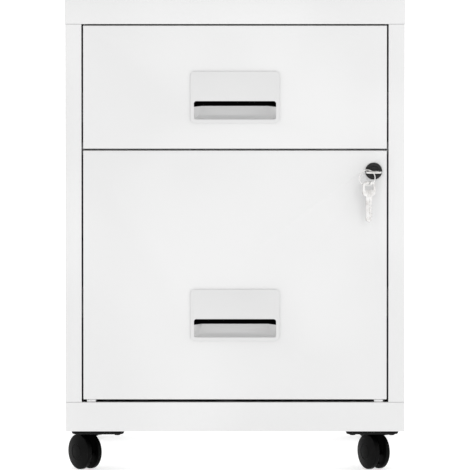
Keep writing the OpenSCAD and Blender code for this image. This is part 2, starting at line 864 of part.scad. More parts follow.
axle(1);  // front_right_caster_axle
wheel(1, 1);  // front_right_caster_left_wheel
wheel(1, -1);  // front_right_caster_right_wheel
hood(2);  // rear_left_caster_hood
axle(2);  // rear_left_caster_axle
wheel(2, 1);  // rear_left_caster_left_wheel
wheel(2, -1);  // rear_left_caster_right_wheel
hood(3);  // rear_right_caster_hood
axle(3);  // rear_right_caster_axle
wheel(3, 1);  // rear_right_caster_left_wheel
wheel(3, -1);  // rear_right_caster_right_wheel
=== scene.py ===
# %% [markdown]
# # A mobile filing cabinet in white sheet steel
#
# The real cabinet is folded from 0.8 mm steel sheet, sprayed with a white powder coat, and it
# rolls on four black twin-wheel casters. The engineering model already holds every piece at its
# real size, so this lesson loads that model as a fixed frame and works on the looks only.

# %% Load the frame
import json
import math

import bmesh
import bpy
from mathutils import Matrix, Vector


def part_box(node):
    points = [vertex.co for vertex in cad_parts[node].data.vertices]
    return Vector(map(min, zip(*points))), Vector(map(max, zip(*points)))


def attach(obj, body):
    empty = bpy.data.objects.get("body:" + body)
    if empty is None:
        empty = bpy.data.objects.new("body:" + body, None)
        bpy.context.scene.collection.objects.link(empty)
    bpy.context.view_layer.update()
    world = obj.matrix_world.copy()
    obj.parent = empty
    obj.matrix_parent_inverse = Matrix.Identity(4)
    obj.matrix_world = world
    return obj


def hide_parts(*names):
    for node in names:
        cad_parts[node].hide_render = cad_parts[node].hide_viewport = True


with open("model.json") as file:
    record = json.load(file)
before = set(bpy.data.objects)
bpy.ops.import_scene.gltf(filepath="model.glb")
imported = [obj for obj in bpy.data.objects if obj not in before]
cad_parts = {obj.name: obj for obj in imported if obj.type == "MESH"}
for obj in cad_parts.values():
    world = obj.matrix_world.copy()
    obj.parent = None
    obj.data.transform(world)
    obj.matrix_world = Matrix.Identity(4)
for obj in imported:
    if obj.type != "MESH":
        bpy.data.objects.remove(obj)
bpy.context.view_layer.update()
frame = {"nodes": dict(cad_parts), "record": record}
nodes = frame["nodes"]
MM = 0.001
behaviour = frame["record"]["behaviour"]
body_of_node = {node: body for body, members in behaviour["bodies"].items() for node in members}
slot_of_node = {part["node"]: part["material_slot"] for part in frame["record"]["subparts"]}

# %% [markdown]
# ## Camera
#
# A long lens far away keeps the upright edges parallel, which flatters a box. The camera looks
# down a little, so that the tops of the folds catch the light and the rear casters stay hidden
# behind the front ones. The lens follows from how much of the picture's width the body takes.

# %% Place the camera
CAMERA_DISTANCE = 20.0
CAMERA_PITCH = math.radians(6)
BODY_SHARE = 0.7215
AIM_DROP = 0.4993
SENSOR = 36.0

cover_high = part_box("top_cover")[1]
plinth_low, plinth_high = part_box("front_plinth")
front_y = plinth_low.y
view_width = (plinth_high.x - plinth_low.x) / BODY_SHARE
aim = Vector((0, front_y, cover_high.z - AIM_DROP * view_width / math.cos(CAMERA_PITCH)))
away = Vector((0, -math.cos(CAMERA_PITCH), math.sin(CAMERA_PITCH)))

camera_data = bpy.data.cameras.new("camera")
camera_data.sensor_width = SENSOR
camera_data.lens = SENSOR * CAMERA_DISTANCE / view_width
camera_data.clip_end = 2 * CAMERA_DISTANCE
camera = bpy.data.objects.new("camera", camera_data)
camera.location = aim + away * CAMERA_DISTANCE
camera.rotation_euler = (math.pi / 2 - CAMERA_PITCH, 0, 0)
bpy.context.scene.collection.objects.link(camera)
bpy.context.scene.camera = camera
bpy.context.scene.view_settings.view_transform = "Standard"
print("camera lens:", round(camera_data.lens), "mm")

# %% [markdown]
# ## Node expressions
#
# Procedural materials and grown shapes are formulas. Wiring each addition by hand is long and
# hard to read, so a small class wraps a node's socket and lets Python's own operators build the
# Math nodes. One more class adds any other node to a tree, for shaders and for geometry alike.

# %% A socket that understands arithmetic
class Wire:
    def __init__(self, owner, socket):
        self.owner = owner
        self.socket = socket

    def other(self, output):
        """Another output of the node that this one comes from."""
        return Wire(self.owner, self.socket.node.outputs[output])

    def _math(self, operation, first, second):
        return self.owner.node("ShaderNodeMath", {"operation": operation}, {0: first, 1: second})

    def __add__(self, other):
        return self._math("ADD", self, other)

    def __sub__(self, other):
        return self._math("SUBTRACT", self, other)

    def __rsub__(self, other):
        return self._math("SUBTRACT", other, self)

    def __mul__(self, other):
        return self._math("MULTIPLY", self, other)

    def __truediv__(self, other):
        return self._math("DIVIDE", self, other)

    __radd__ = __add__
    __rmul__ = __mul__


# %% A tree that nodes are added to
class NodeTree:
    def __init__(self, tree):
        self.tree = tree

    def node(self, kind, settings, values, output=0):
        """Adds a node: its settings come first, then the values or wires of its sockets."""
        made = self.tree.nodes.new(kind)
        for name, setting in settings.items():
            setattr(made, name, setting)
        for key, value in values.items():
            for item in value if isinstance(value, list) else [value]:
                if isinstance(item, Wire):
                    self.tree.links.new(item.socket, made.inputs[key])
                else:
                    made.inputs[key].default_value = item
        return Wire(self, made.outputs[output])


# %% A material's tree
class Shader(NodeTree):
    """One material: its Principled shader, and short ways to add the nodes that feed it."""

    def __init__(self, name, **constants):
        self.material = bpy.data.materials.new(name)
        self.material.use_nodes = True
        super().__init__(self.material.node_tree)
        self.surface = self.tree.nodes["Principled BSDF"]
        for socket, value in constants.items():
            self.set(socket.replace("_", " "), value)
        self.place = self.node("ShaderNodeTexCoord", {}, {}, "Object")

    def set(self, socket, value):
        if isinstance(value, Wire):
            self.tree.links.new(value.socket, self.surface.inputs[socket])
        else:
            self.surface.inputs[socket].default_value = value

    def stretched(self, scale):
        return self.node("ShaderNodeMapping", {}, {"Vector": self.place, "Scale": scale})

    def noise(self, scale, detail=2.0, vector=None):
        values = {"Vector": vector or self.place, "Scale": scale, "Detail": detail}
        return self.node("ShaderNodeTexNoise", {}, values, "Fac")

    def ramp(self, value, low, high):
        """Zero below low, one above high."""
        values = {"Value": value, "From Min": low, "From Max": high}
        return self.node("ShaderNodeMapRange", {"interpolation_type": "SMOOTHSTEP"}, values, "Result")

    def mix(self, amount, first, second):
        return self.node("ShaderNodeMix", {"data_type": "RGBA"}, {0: amount, 6: first, 7: second}, 2)

    def bump(self, height, distance, strength=1.0):
        values = {"Height": height, "Distance": distance, "Strength": strength}
        self.set("Normal", self.node("ShaderNodeBump", {}, values, "Normal"))


def grey(level, warmth=0.0):
    return (level + warmth, level, level - warmth, 1)


# %% [markdown]
# ## Finishes
#
# Powder coat is melted plastic: a fine orange peel about a millimetre across, a satin gloss that
# wanders a little, and no brush marks. Moulded plastic has a finer, sharper grain from the spark
# eroded mould. Zinc plate and rolled slide steel are streaky along the rolling direction, and
# keys pick up scratches in all directions. Each finish is one function of a few values, because
# the same coat is on many pieces, and because a pattern in object space runs on over the seams.
#
# The blacks are darker and duller than real plastic or paint. Under a sky that is white all round
# a true specular level would turn them grey, so theirs is low. Raise it for a darker studio.

# %% Powder coat
PEEL_DEPTH = 0.04 * MM


def powder_coat(name, colour, shade, roughness, gloss=0.5):
    coat = Shader(name, Specular_IOR_Level=gloss)
    # Painted reflection: broad soft clouds shift the base colour between two close tones, standing in for the
    # soft cloudy reflections of the satin coat. The same clouds also vary the gloss.
    gloss_and_painted_reflection_cloud = coat.noise(4.5, 2.0)
    coat.set("Base Color", coat.mix(coat.ramp(gloss_and_painted_reflection_cloud, 0.38, 0.62), colour, shade))
    peel = coat.noise(900.0, 1.0)
    speck = coat.noise(2600.0, 0.0)
    coat.set("Roughness", roughness + 0.20 * (gloss_and_painted_reflection_cloud - 0.5) + 0.06 * (speck - 0.5))
    coat.bump(peel + 0.3 * speck, PEEL_DEPTH, 0.5)
    return coat.material


# %% Moulded plastic
MOULD_GRAIN = 0.03 * MM
FINE_GRAIN = 0.02 * MM


def moulded_plastic(name, colour, shade, roughness, gloss=0.5, grain=MOULD_GRAIN):
    plastic = Shader(name, Specular_IOR_Level=gloss)
    flow = plastic.noise(14.0, 2.0)
    grit = plastic.noise(2200.0, 1.0)
    plastic.set("Base Color", plastic.mix(plastic.ramp(flow, 0.3, 0.7), colour, shade))
    plastic.set("Roughness", roughness + 0.12 * (flow - 0.5) + 0.08 * (grit - 0.5))
    plastic.bump(grit, grain, 0.6)
    return plastic.material


# %% Rolled and plated steel
STREAK_DEPTH = 0.02 * MM


def rolled_steel(name, colour, shade, roughness, along=(60.0, 1.5, 60.0)):
    steel = Shader(name, Metallic=1.0)
    streak = steel.noise(20.0, 4.0, steel.stretched(along))
    haze = steel.noise(30.0, 2.0)
    steel.set("Base Color", steel.mix(steel.ramp(streak + 0.4 * (haze - 0.5), 0.3, 0.7), colour, shade))
    steel.set("Roughness", roughness + 0.18 * (streak - 0.5) + 0.1 * (haze - 0.5))
    steel.bump(streak, STREAK_DEPTH, 0.5)
    return steel.material


# %% Nickel that has lived in a pocket
def worn_nickel(name, colour, shade):
    nickel = Shader(name, Metallic=1.0)
    scratch_a = nickel.noise(60.0, 5.0, nickel.stretched((40.0, 3.0, 3.0)))
    scratch_b = nickel.noise(60.0, 5.0, nickel.stretched((4.0, 4.0, 50.0)))
    wear = nickel.noise(160.0, 3.0)
    nickel.set("Base Color", nickel.mix(nickel.ramp(wear, 0.35, 0.7), colour, shade))
    nickel.set("Roughness", 0.22 + 0.2 * (wear - 0.4) + 0.1 * (scratch_a - 0.5))
    nickel.bump(scratch_a + scratch_b, STREAK_DEPTH, 0.5)
    return nickel.material


# %% Make one material for each slot of the record
finishes = {
    # The second grey of each powder coat is the tone of its painted cloudy reflections.
    "white_steel": powder_coat("white_powder_coat", grey(0.735), grey(0.705), 0.36),
    "white_plastic": moulded_plastic("white_buffer_plastic", grey(0.84), grey(0.82), 0.45),
    "handle_plastic": moulded_plastic("light_grey_handle_plastic", grey(0.66), grey(0.645), 0.4),
    "black_plastic": moulded_plastic("black_moulded_plastic", grey(0.001), grey(0.002), 0.6, 0.0),
    "wheel_plastic": moulded_plastic("black_wheel_nylon", grey(0.002), grey(0.004), 0.4, 0.05, FINE_GRAIN),
    "black_paint": powder_coat("black_electro_coat", grey(0.002), grey(0.004), 0.45, 0.1),
    "lock_black": powder_coat("black_lock_lacquer", grey(0.008), grey(0.012), 0.4, 0.35),
    "slide_steel": rolled_steel("bright_rolled_zinc", grey(0.62), grey(0.5, -0.01), 0.36),
    "zinc_plated": rolled_steel("zinc_plate", grey(0.66), grey(0.52, 0.015), 0.34, (8.0, 8.0, 8.0)),
    "nickel": worn_nickel("worn_nickel_plate", grey(0.74, 0.008), grey(0.6, 0.015)),
    "nylon": moulded_plastic("natural_nylon", grey(0.66, 0.04), grey(0.6, 0.05), 0.4),
}
for node, cad_object in nodes.items():
    cad_object.data.materials.clear()
    cad_object.data.materials.append(finishes[slot_of_node[node]])
print("finishes:", ", ".join(sorted(finishes)))

# %% [markdown]
# ## Folded sheet with real bends
#
# A press brake can't fold a perfectly sharp edge. Each fold of the real panels has an outer
# radius a little over the sheet's thickness, and the cut edges of the sheet have a tiny
# rounding from the coat. The CAD shape is right otherwise, so the finished panels are copies of
# it whose edges are rounded: the folds by a wide bevel, and the cut edges by a narrow one. A
# bevel modifier could do this too, but it can't tell a fold from a cut edge.

# %% Copy a CAD mesh as clean polygons
FLAT = math.radians(1.0)
SHARP = math.radians(30)
LENGTH_EPSILON = 1e-6


def clean_copy(node):
    shape = bmesh.new()
    shape.from_mesh(nodes[node].data)
    bmesh.ops.remove_doubles(shape, verts=shape.verts, dist=LENGTH_EPSILON)
    bmesh.ops.dissolve_limit(shape, angle_limit=FLAT, verts=shape.verts, edges=shape.edges)
    return shape


def depth_behind(edge, face):
    """How far a face reaches from one of its edges."""
    start, end = edge.verts[0].co, edge.verts[1].co
    inward = face.normal.cross((end - start).normalized())
    reach = [(v.co - start).dot(inward) for v in face.verts]
    return max(abs(min(reach)), abs(max(reach)))


def outer_corner(edge):
    return len(edge.link_faces) == 2 and edge.calc_face_angle_signed(0.0) > SHARP


# %% Turn a shape into a finished piece
def finish_piece(name, shape, node_names, smooth=40.0):
    """An object that stands for CAD nodes, on their body and in their finish."""
    bmesh.ops.dissolve_degenerate(shape, dist=LENGTH_EPSILON, edges=shape.edges)
    mesh = bpy.data.meshes.new(name)
    shape.to_mesh(mesh)
    shape.free()
    mesh.shade_smooth()
    mesh.set_sharp_from_angle(angle=math.radians(smooth))
    piece = bpy.data.objects.new(name, mesh)
    bpy.context.scene.collection.objects.link(piece)
    register(piece, node_names)
    return piece


def register(piece, node_names):
    """Gives a piece the finish, the body and the CAD nodes that it stands for."""
    slot = slot_of_node[node_names[0]]
    piece.data.materials.clear()
    piece.data.materials.append(finishes[slot])
    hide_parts(*node_names)
    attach(piece, body_of_node[node_names[0]])


# %% Round the folds and the cut edges
SHEET = 1.3 * MM
FOLD_STEPS = 3
CUT_STEPS = 2


def bevel(shape, edges, width, steps, clamp=True):
    live = [edge for edge in edges if edge.is_valid]
    if live:
        bmesh.ops.bevel(shape, geom=live, offset=width, segments=steps, profile=0.5,
                        affect="EDGES", clamp_overlap=clamp)


def round_edges(shape, wide, narrow):
    """Rounds outer corners: wide where both faces are broad, narrow at the edge of a sheet."""
    shape.normal_update()
    folds, cuts = [], []
    for edge in filter(outer_corner, shape.edges):
        thinnest = min(depth_behind(edge, face) for face in edge.link_faces)
        (folds if thinnest > SHEET else cuts).append(edge)
    bevel(shape, folds, wide, FOLD_STEPS)
    bevel(shape, cuts, narrow, CUT_STEPS)
    return shape


def rounded_copy(node, name, wide, narrow=0.22):
    """A finished copy of a CAD node, with its fold and cut-edge radii in millimetres."""
    return finish_piece(name, round_edges(clean_copy(node), wide * MM, narrow * MM), [node])


# %% The sheet-metal pieces
COVER_FOLD = 1.5
FRONT_FOLD = 1.7
BODY_FOLD = 1.3
BASE_FOLD = 1.0
folded = {
    "top_cover": ("folded_top_cover", COVER_FOLD),
    "left_side_panel": ("folded_left_side", BODY_FOLD),
    "right_side_panel": ("folded_right_side", BODY_FOLD),
    "back_panel": ("folded_back", BODY_FOLD),
    "base_panel": ("folded_base", BASE_FOLD),
    "front_plinth": ("folded_plinth", FRONT_FOLD),
    "middle_rail": ("folded_middle_rail", BODY_FOLD),
    "slide_uprights": ("folded_slide_uprights", BODY_FOLD),
    "upper_drawer_front": ("folded_upper_front", FRONT_FOLD),
    "lower_drawer_front": ("folded_lower_front", FRONT_FOLD),
    "upper_drawer_tray": ("folded_upper_tray", BODY_FOLD),
    "lower_drawer_tray": ("folded_lower_tray", BODY_FOLD),
}
for node, (name, fold) in folded.items():
    piece = rounded_copy(node, name, fold)
    print(name, len(piece.data.polygons), "faces")

# %% [markdown]
# ## Slides, rails and buffers
#
# Telescopic slides are rolled from thin strip, so their corners are tight. The white buffers are
# soft moulded blocks, which have the largest rounding of all the small pieces.

# %% Rolled and moulded carcass pieces
ROLLED = (0.5, 0.15)
small_pieces = {
    "file_rails": ("file_rail_angles", 0.5, 0.2),
    "bump_stops": ("buffer_blocks", 1.4, 0.5),
    "upper_slide_middles": ("upper_middle_members", *ROLLED),
    "lower_slide_middles": ("lower_middle_members", *ROLLED),
}
for level in ("upper", "lower"):
    for side in ("left", "right"):
        for member in ("outer", "inner"):
            node = f"{level}_{side}_slide_{member}"
            small_pieces[node] = (f"{level}_{side}_{member}_member", *ROLLED)
for node, (name, wide, narrow) in small_pieces.items():
    rounded_copy(node, name, wide, narrow)
print("slides and rails:", len(small_pieces), "pieces")

# %% [markdown]
# ## Handles
#
# Each handle is a moulded plate that stands a little proud of the front. Its rim is rounded
# softly, so that it catches the light above and throws a thin shadow below. The finger pocket
# has a sharper mouth. Behind the plate, a dark cup closes the space for the fingertips.

# %% Plates, scoops and grip cups
for level in ("upper", "lower"):
    rounded_copy(f"{level}_handle", f"{level}_handle_plate", 0.6, 0.25)
    rounded_copy(f"{level}_grip_cup", f"{level}_grip_box", 0.5, 0.2)
print("handles: plates and grip boxes")

# %% [markdown]
# ## Lock and keys
#
# The lock's rim, plug, nut and cam are turned or stamped, so they get crisp, small roundings.
# A key is stamped from flat strip and milled: a groove runs along each side of its blade. The
# groove is cut by slicing the blade's faces along two lines and pushing the strip between them
# in. The spare key is the same key, turned to hang, and set where the CAD spare key is.

# %% The lock
for node, name, wide in (("lock_housing", "lock_barrel", 0.5), ("lock_plug", "lock_core", 0.3),
                         ("lock_nut", "barrel_nut", 0.4), ("lock_cam", "lock_tongue", 0.3)):
    rounded_copy(node, name, wide, 0.2)

# %% A key with milled grooves
GROOVE_HALF = 0.9 * MM
GROOVE_DEPTH = 0.45 * MM
BOW_SHARE = 0.42
GROOVE_END_GAP = 4 * MM
SPARE_TURN = math.radians(35)


def corners_of(points):
    """Lowest and highest corner of some points."""
    return (Vector([min(point[i] for point in points) for i in range(3)]),
            Vector([max(point[i] for point in points) for i in range(3)]))


def slice_at(shape, point, normal):
    everything = shape.verts[:] + shape.edges[:] + shape.faces[:]
    bmesh.ops.bisect_plane(shape, geom=everything, plane_co=point, plane_no=normal, dist=LENGTH_EPSILON)


def milled_key():
    """The key in the lock, lying flat, with a groove along both faces of its blade."""
    key = clean_copy("key")
    low, high = corners_of([v.co for v in key.verts])
    middle_x = (low.x + high.x) / 2
    groove_start = low.y + BOW_SHARE * (high.y - low.y)
    groove_end = high.y - GROOVE_END_GAP
    for x in (middle_x - GROOVE_HALF, middle_x + GROOVE_HALF):
        slice_at(key, (x, 0, 0), (1, 0, 0))
    for y in (groove_start, groove_end):
        slice_at(key, (0, y, 0), (0, 1, 0))
    key.normal_update()
    for way in (-1, 1):
        strip = [face for face in key.faces if face.normal.z * way > 0.9
                 and abs(face.calc_center_median().x - middle_x) < GROOVE_HALF
                 and groove_start < face.calc_center_median().y < groove_end]
        grown = bmesh.ops.extrude_face_region(key, geom=strip)
        floor = [item for item in grown["geom"] if isinstance(item, bmesh.types.BMVert)]
        bmesh.ops.translate(key, verts=floor, vec=(0, 0, -way * GROOVE_DEPTH))
        bmesh.ops.delete(key, geom=[face for face in strip if face.is_valid], context="FACES_ONLY")
        key.normal_update()
    return round_edges(key, 0.3 * MM, 0.15 * MM)


def hung_key():
    """The same key, turned upright, with its box in the middle of the CAD spare key's box."""
    spare = milled_key()
    turn = Matrix.Rotation(SPARE_TURN, 4, "Z") @ Matrix.Rotation(-math.pi / 2, 4, "X")
    spare.transform(turn)
    low, high = corners_of([v.co for v in spare.verts])
    cad_low, cad_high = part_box("spare_key")
    spare.transform(Matrix.Translation((cad_low + cad_high - low - high) / 2))
    return spare


finish_piece("milled_key", milled_key(), ["key"])
finish_piece("hanging_spare_key", hung_key(), ["spare_key"])

# %% [markdown]
# ## Split ring
#
# A key ring is a flat wire wound twice round, so that keys can be threaded between its turns. A
# plain ring would look like a washer. The section of the wire is swept along two turns, and it
# steps over from the back layer to the front one in a short stretch. The wire is thinner than the
# CAD ring's by the share below, because a square section of the full size has corners outside the
# round CAD wire, and they touched the spare key at the end of its swing.

# %% Wind the ring
RING_TURNS = 2
RING_STEPS = 72
STEP_OVER = 0.12
WIRE_SHARE = 0.8
LAYER_SHARE = 0.26
WIRE_SECTION = [(0.36, 0.5), (0.48, 0.25), (0.48, -0.25), (0.36, -0.5),
                (-0.36, -0.5), (-0.48, -0.25), (-0.48, 0.25), (-0.36, 0.5)]


def split_ring():
    low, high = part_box("key_ring")
    centre = (low + high) / 2
    cad_wire = high.y - low.y
    mean_radius = (high.x - low.x - cad_wire) / 2
    wire = WIRE_SHARE * cad_wire
    half_layer = LAYER_SHARE * wire
    ring = bmesh.new()
    loops = []
    for i in range(RING_TURNS * RING_STEPS + 1):
        share = i / (RING_TURNS * RING_STEPS)
        angle = 2 * math.pi * RING_TURNS * share + math.pi / 3
        layer = max(-1.0, min(1.0, (share - 0.5) / STEP_OVER)) * half_layer
        outward = Vector((math.cos(angle), 0, math.sin(angle)))
        loops.append([ring.verts.new(centre + outward * (mean_radius + a * wire)
                                     + Vector((0, layer + b * wire / 2, 0))) for a, b in WIRE_SECTION])
    count = len(WIRE_SECTION)
    for one, two in zip(loops, loops[1:]):
        for k in range(count):
            ring.faces.new((one[k], one[(k + 1) % count], two[(k + 1) % count], two[k]))
    ring.faces.new(loops[0][::-1])
    ring.faces.new(loops[-1])
    bmesh.ops.recalc_face_normals(ring, faces=ring.faces)
    return ring


finish_piece("split_ring", split_ring(), ["key_ring"], 35.0)
print("keys: two keys on a split ring")

# %% [markdown]
# ## Casters
#
# A caster's pressed plate has its edge turned down, its hood is a moulding, and its twin wheels
# are turned shapes: a rounded tread, a shallow dome on the outer face, and a cap in a round
# groove at the hub. A turned shape is drawn as half of its section and swept round its axle.

# %% Sweep a section round an axle
TURN_STEPS = 72


def lathe(section, centre, axle):
    """Sweeps points of (radius, distance along the axle) round the axle. Its ends are on it."""
    sideways = axle.orthogonal().normalized()
    upwards = axle.cross(sideways)
    shape = bmesh.new()
    loops = []
    for radius, along in section:
        middle = centre + axle * along
        if radius == 0:
            loops.append([shape.verts.new(middle)] * TURN_STEPS)
            continue
        loops.append([shape.verts.new(middle + radius * (math.cos(a) * sideways + math.sin(a) * upwards))
                      for a in (2 * math.pi * i / TURN_STEPS for i in range(TURN_STEPS))])
    for one, two in zip(loops, loops[1:]):
        for k in range(TURN_STEPS):
            j = (k + 1) % TURN_STEPS
            corners = list(dict.fromkeys((one[k], one[j], two[j], two[k])))
            if len(corners) > 2:
                shape.faces.new(corners)
    bmesh.ops.recalc_face_normals(shape, faces=shape.faces)
    return shape


def arc(middle_r, middle_a, radius, start, end, steps=5):
    """Points of (radius, along) on a round corner, from one angle in degrees to another."""
    angles = [math.radians(start + (end - start) * i / steps) for i in range(steps + 1)]
    return [(middle_r + radius * math.cos(a), middle_a + radius * math.sin(a)) for a in angles]


# %% One wheel
joints = {joint["name"]: joint for joint in behaviour["joints"]}
CAP_RADIUS = 8.2 * MM
CAP_GROOVE = 0.9 * MM
CAP_GROOVE_DEPTH = 0.35 * MM
BORE_RADIUS = 2.55 * MM
HUB_RADIUS = 5.5 * MM
RIM_WALL = 5 * MM
TREAD_ROUND = 1.5 * MM
INNER_ROUND = 0.8 * MM
FACE_SINK = 0.1 * MM
WEB_SHARE = 0.4
BORE_END = 2 * MM
GROOVE_SLOPE = 0.3 * MM
FACE_RINGS = (0.85, 0.7, 0.55)


def caster_wheel(place, side):
    node = f"{place}_caster_{side}_wheel"
    joint = joints[f"{place}_{side}_wheel_spin"]
    centre, axle = Vector(joint["pos_m"]), Vector(joint["axis"])
    points = [v.co - centre for v in nodes[node].data.vertices]
    if sum(point.dot(axle) for point in points) < 0:
        axle = -axle
    along = [point.dot(axle) for point in points]
    inner, outer = min(along), max(along)
    wheel_radius = max((point - axle * point.dot(axle)).length for point in points)
    at_rim = max(a for a, point in zip(along, points)
                 if (point - axle * a).length > wheel_radius - 2 * LENGTH_EPSILON)
    dome = (wheel_radius ** 2 + (outer - at_rim) ** 2) / (2 * (outer - at_rim))

    def face(radius):
        """Distance of the domed outer face along the axle, at a radius."""
        return outer - FACE_SINK - dome + math.sqrt(dome ** 2 - radius ** 2)

    web = inner + WEB_SHARE * (outer - inner)
    section = [(0, web + BORE_END), (BORE_RADIUS, web + BORE_END), (BORE_RADIUS, inner), (HUB_RADIUS, inner),
               (HUB_RADIUS, web), (wheel_radius - RIM_WALL, web), (wheel_radius - RIM_WALL, inner)]
    section += arc(wheel_radius - INNER_ROUND, inner + INNER_ROUND, INNER_ROUND, -90, 0)
    shoulder = wheel_radius - TREAD_ROUND
    section += arc(shoulder, face(shoulder) - TREAD_ROUND, TREAD_ROUND, 0, 90)
    for share in FACE_RINGS:
        section.append((share * wheel_radius, face(share * wheel_radius)))
    groove = CAP_RADIUS + CAP_GROOVE
    section += [(groove + GROOVE_SLOPE, face(groove)), (groove, face(groove) - CAP_GROOVE_DEPTH),
                (CAP_RADIUS, face(CAP_RADIUS) - CAP_GROOVE_DEPTH),
                (CAP_RADIUS - GROOVE_SLOPE, face(CAP_RADIUS)),
                (CAP_RADIUS / 2, face(CAP_RADIUS / 2)), (0, face(0))]
    finish_piece(f"{place}_{side}_turned_wheel", lathe(section, centre, axle), [node])


# %% Hoods, axles and wheels of the four casters
places = ["front_left", "front_right", "rear_left", "rear_right"]
for place in places:
    rounded_copy(f"{place}_caster_hood", f"{place}_caster_moulding", 0.6, 0.3)
    rounded_copy(f"{place}_caster_axle", f"{place}_axle_shaft", 0.5, 0.5)
    for side in ("left", "right"):
        caster_wheel(place, side)
rounded_copy("caster_king_pins", "king_pin_shafts", 0.5, 0.5)
print("casters:", len(places), "with", 2 * len(places), "wheels")

# %% Pressed plates with turned-down edges
EDGE_TURN = 2.4 * MM
RIM_SHARE = 0.84


def pressed_plates():
    """The four plates: the lower outer edge of each is bevelled, the rest is crisp."""
    plates = clean_copy("caster_plates")
    low, high = corners_of([v.co for v in plates.verts])
    half = (high.x - min(v.co.x for v in plates.verts if v.co.x > 0)) / 2
    middles = [Vector((x, y, low.z)) for x in (low.x + half, high.x - half)
               for y in (low.y + half, high.y - half)]

    def at_rim(vertex):
        reach = min((vertex.co - middle for middle in middles), key=lambda gap: gap.length)
        below = abs(reach.z) < LENGTH_EPSILON
        return below and max(abs(reach.x), abs(reach.y)) > RIM_SHARE * half

    rim = [edge for edge in plates.edges if outer_corner(edge) and all(at_rim(v) for v in edge.verts)]
    bevel(plates, rim, EDGE_TURN, FOLD_STEPS, clamp=False)
    print("plate rims:", len(rim), "edges")
    return round_edges(plates, 0.3 * MM, 0.15 * MM)


finish_piece("pressed_caster_plates", pressed_plates(), ["caster_plates"])

# %% [markdown]
# ## Screws
#
# The cabinet has dozens of the same pan-head screw. Geometry Nodes grow one from a cylinder by
# pulling its top face up and scaling it, step by step, as on a lathe, and set a copy at each
# place. The places are points with a direction, read off the CAD screws. The copies are made
# real, because an instance wouldn't reach the export, and each body gets one plain mesh.

# %% A geometry tree with named inputs
class Growth(NodeTree):
    def __init__(self, name, **inputs):
        super().__init__(bpy.data.node_groups.new(name, "GeometryNodeTree"))
        sockets = self.tree.interface
        sockets.new_socket("Places", in_out="INPUT", socket_type="NodeSocketGeometry")
        self.identifiers = {}
        for label, kind in inputs.items():
            made = sockets.new_socket(label.replace("_", " "), in_out="INPUT",
                                      socket_type="NodeSocket" + kind)
            self.identifiers[label] = made.identifier
        sockets.new_socket("Geometry", in_out="OUTPUT", socket_type="NodeSocketGeometry")
        self.source = self.tree.nodes.new("NodeGroupInput")

    def value(self, label):
        return Wire(self, self.source.outputs[label.replace("_", " ")])

    def vector(self, x=0.0, y=0.0, z=0.0):
        return self.node("ShaderNodeCombineXYZ", {}, {"X": x, "Y": y, "Z": z})

    def pull(self, mesh, top, rise, scale):
        """Extrudes the top face by a rise, then scales it. Returns the mesh and its new top."""
        raised = self.node("GeometryNodeExtrudeMesh", {"mode": "FACES"},
                           {"Mesh": mesh, "Selection": top, "Offset Scale": rise, "Individual": False})
        new_top = raised.other("Top")
        scaled = self.node("GeometryNodeScaleElements", {"domain": "FACE"},
                           {"Geometry": raised, "Selection": new_top, "Scale": scale})
        return scaled, new_top

    def finish(self, shape):
        """Sets a copy of the shape at each place, along its direction, real and in its material."""
        direction = self.node("GeometryNodeInputNamedAttribute", {"data_type": "FLOAT_VECTOR"},
                              {"Name": "direction"})
        turned = self.node("FunctionNodeAlignRotationToVector", {"axis": "Z"}, {"Vector": direction})
        copies = self.node("GeometryNodeInstanceOnPoints", {},
                           {"Points": self.value("Places"), "Instance": shape, "Rotation": turned})
        real = self.node("GeometryNodeRealizeInstances", {}, {"Geometry": copies})
        coated = self.node("GeometryNodeSetMaterial", {},
                           {"Geometry": real, "Material": self.value("Material")})
        result = self.tree.nodes.new("NodeGroupOutput")
        self.tree.links.new(coated.socket, result.inputs["Geometry"])


# %% Grow a tree's shape at places, as one mesh
def grow(growth, name, places, node_names, **values):
    """Runs a geometry tree on points with a direction, and registers the plain mesh it makes."""
    seeds = bpy.data.meshes.new(name + "_places")
    seeds.from_pydata([position for position, direction in places], [], [])
    arrows = seeds.attributes.new("direction", "FLOAT_VECTOR", "POINT")
    for arrow, (position, direction) in zip(arrows.data, places):
        arrow.vector = direction
    seed_object = bpy.data.objects.new(name + "_places", seeds)
    bpy.context.scene.collection.objects.link(seed_object)
    modifier = seed_object.modifiers.new("grow", "NODES")
    modifier.node_group = growth.tree
    for label, value in values.items():
        modifier[growth.identifiers[label]] = value
    modifier[growth.identifiers["Material"]] = finishes[slot_of_node[node_names[0]]]
    bpy.context.view_layer.update()
    evaluated = seed_object.evaluated_get(bpy.context.evaluated_depsgraph_get())
    mesh = bpy.data.meshes.new_from_object(evaluated)
    seed_object.modifiers.remove(modifier)
    bpy.data.objects.remove(seed_object)
    mesh.name = name
    mesh.shade_smooth()
    mesh.set_sharp_from_angle(angle=math.radians(35))
    piece = bpy.data.objects.new(name, mesh)
    bpy.context.scene.collection.objects.link(piece)
    register(piece, node_names)
    print(name, len(places), "copies,", len(mesh.polygons), "faces")
    return piece


# %% Read the places of screws off their CAD solids
def solids_of(node):
    """The points of each separate solid of a CAD node."""
    shape = bmesh.new()
    shape.from_mesh(nodes[node].data)
    bmesh.ops.remove_doubles(shape, verts=shape.verts, dist=LENGTH_EPSILON)
    waiting, solids = set(shape.verts), []
    while waiting:
        front, found = [waiting.pop()], []
        while front:
            vertex = front.pop()
            found.append(vertex.co.copy())
            for edge in vertex.link_edges:
                neighbour = edge.other_vert(vertex)
                if neighbour in waiting:
                    waiting.remove(neighbour)
                    front.append(neighbour)
        solids.append(found)
    shape.free()
    return sorted(solids, key=lambda points: tuple(round(x, 5) for x in corners_of(points)[0]))


HEAD_HEIGHT = 1.4 * MM
HEAD_RADIUS = 3.5 * MM
SHANK_RADIUS = 2 * MM
HEAD_TEST = 1.2


